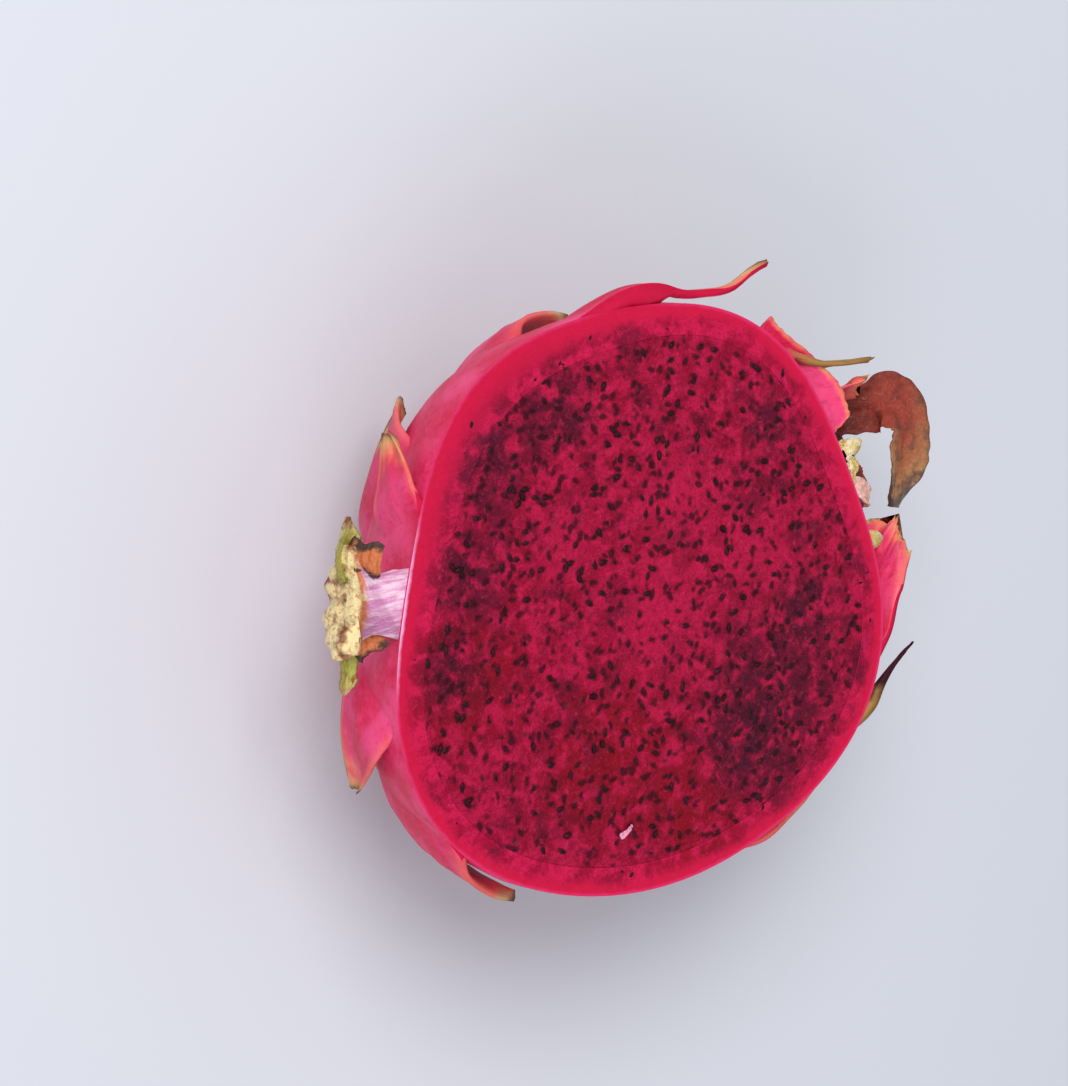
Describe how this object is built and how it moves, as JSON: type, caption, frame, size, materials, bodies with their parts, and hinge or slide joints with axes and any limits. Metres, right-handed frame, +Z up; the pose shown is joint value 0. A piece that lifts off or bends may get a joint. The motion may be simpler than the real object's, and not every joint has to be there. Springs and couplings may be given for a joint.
{
  "type": "dragon fruit half",
  "caption": "Red dragon fruit cut in half lengthwise, lying on its scaly rind with the seeded flesh facing up.",
  "frame": {"origin": "middle of the small flat spot under the rind that the half rests on", "axes": "+Z up and square to the cut face, +X from the stem end to the flower end, +Y to the left of that"},
  "size_m": [0.1212, 0.0932, 0.0439],
  "materials": {
    "rind": "satin",
    "pulp": "glossy",
    "stem_stub": "matte",
    "withered_flower": "matte"
  },
  "bodies": {
    "root": {"rind": "rind", "pulp": "pulp", "stem_stub": "stem_stub", "withered_flower": "withered_flower"}
  },
  "joints": []
}
